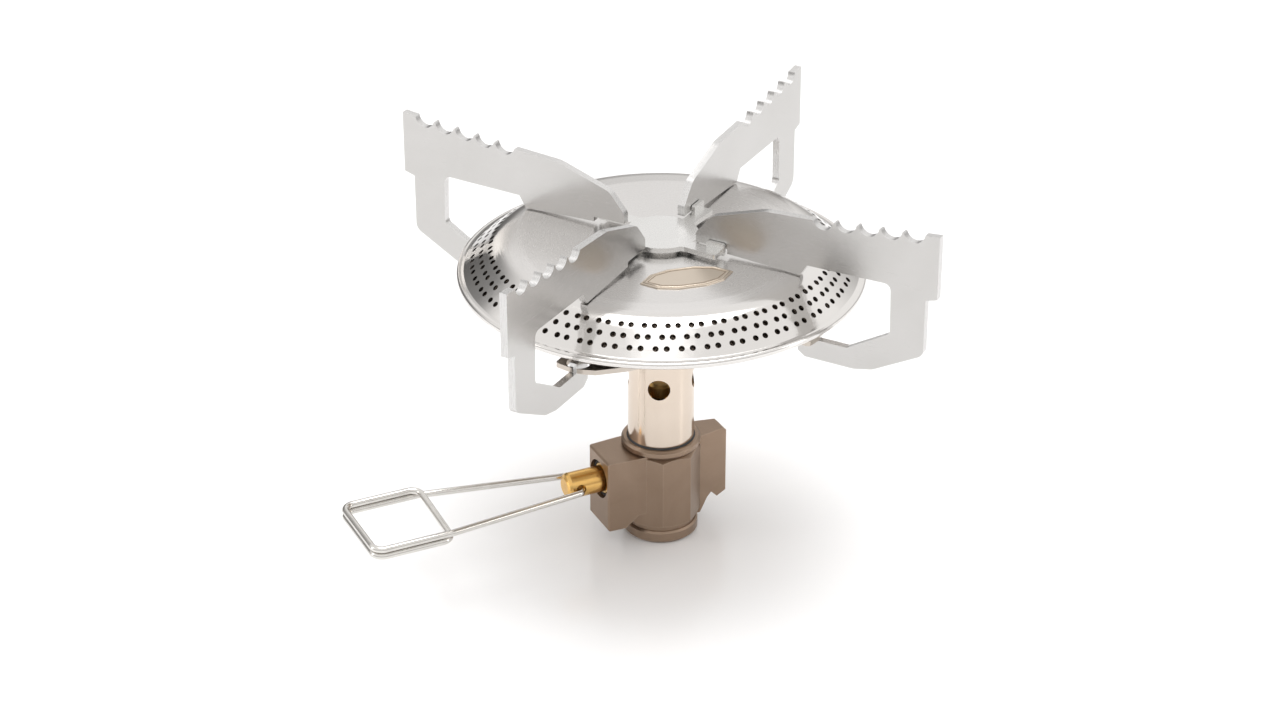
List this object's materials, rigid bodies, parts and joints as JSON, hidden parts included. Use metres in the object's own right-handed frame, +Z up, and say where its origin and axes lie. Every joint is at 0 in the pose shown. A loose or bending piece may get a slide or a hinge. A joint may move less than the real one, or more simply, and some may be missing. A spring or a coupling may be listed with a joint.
{
  "type": "camping stove",
  "caption": "Canister-top gas camping stove: perforated round burner, folding toothed pot supports, wire-handled flame valve.",
  "frame": {"origin": "centre of the gas inlet's bottom face, on the stove's axis", "axes": "+Z up along the mixing tube; the four pot supports point along +X, +Y, -X and -Y"},
  "size_m": [0.1394, 0.1394, 0.0946],
  "materials": {
    "anodised_body": "satin",
    "black_rubber": "matte",
    "brass": "satin",
    "bronze_filter": "matte",
    "nickel_tube": "gloss",
    "pressed_steel": "satin",
    "polished_cap": "gloss",
    "gauze": "matte",
    "plate_steel": "satin",
    "badge_steel": "satin",
    "bright_wire": "gloss",
    "support_steel": "satin"
  },
  "bodies": {
    "stove": {"valve_body": "anodised_body", "inlet_seal": "black_rubber", "depressor_pin": "brass", "inlet_filter": "bronze_filter", "valve_seat": "brass", "gland_nut": "brass", "dust_ring": "black_rubber", "jet_holder": "brass", "jet": "brass", "mixing_tube": "nickel_tube", "carrier_collar": "brass", "arm_carrier": "pressed_steel", "burner_pan": "pressed_steel", "burner_cap": "polished_cap", "flame_gauze": "gauze", "spreader": "pressed_steel", "center_spacer": "pressed_steel", "center_plate": "plate_steel", "badge_plate": "badge_steel"},
    "flame_spindle": {"valve_spindle": "brass", "spindle_seal": "black_rubber"},
    "handle": {"wire_handle": "bright_wire"},
    "support_1": {"pot_support_1": "support_steel"},
    "support_2": {"pot_support_2": "support_steel"},
    "support_3": {"pot_support_3": "support_steel"},
    "support_4": {"pot_support_4": "support_steel"}
  },
  "joints": [
    {"name": "support_1_swing", "type": "hinge", "parent": "stove", "child": "support_1", "pos_m": [0.0385, 0, 0.0625], "axis": [0, 0, -1], "range_deg": [0, 70]},
    {"name": "support_2_swing", "type": "hinge", "parent": "stove", "child": "support_2", "pos_m": [0, 0.0385, 0.0625], "axis": [0, 0, -1], "range_deg": [0, 70]},
    {"name": "support_3_swing", "type": "hinge", "parent": "stove", "child": "support_3", "pos_m": [-0.0385, 0, 0.0625], "axis": [0, 0, -1], "range_deg": [0, 70]},
    {"name": "support_4_swing", "type": "hinge", "parent": "stove", "child": "support_4", "pos_m": [0, -0.0385, 0.0625], "axis": [0, 0, -1], "range_deg": [0, 70]},
    {"name": "flame_control", "type": "hinge", "parent": "stove", "child": "flame_spindle", "pos_m": [-0.01301, -0.01824, 0.0172], "axis": [-0.5807, -0.8141, 0], "range_deg": [0, 720]},
    {"name": "handle_fold", "type": "hinge", "parent": "flame_spindle", "child": "handle", "pos_m": [-0.01301, -0.01824, 0.0172], "axis": [-0.8141, 0.5807, 0], "range_deg": [-15, 40]}
  ]
}
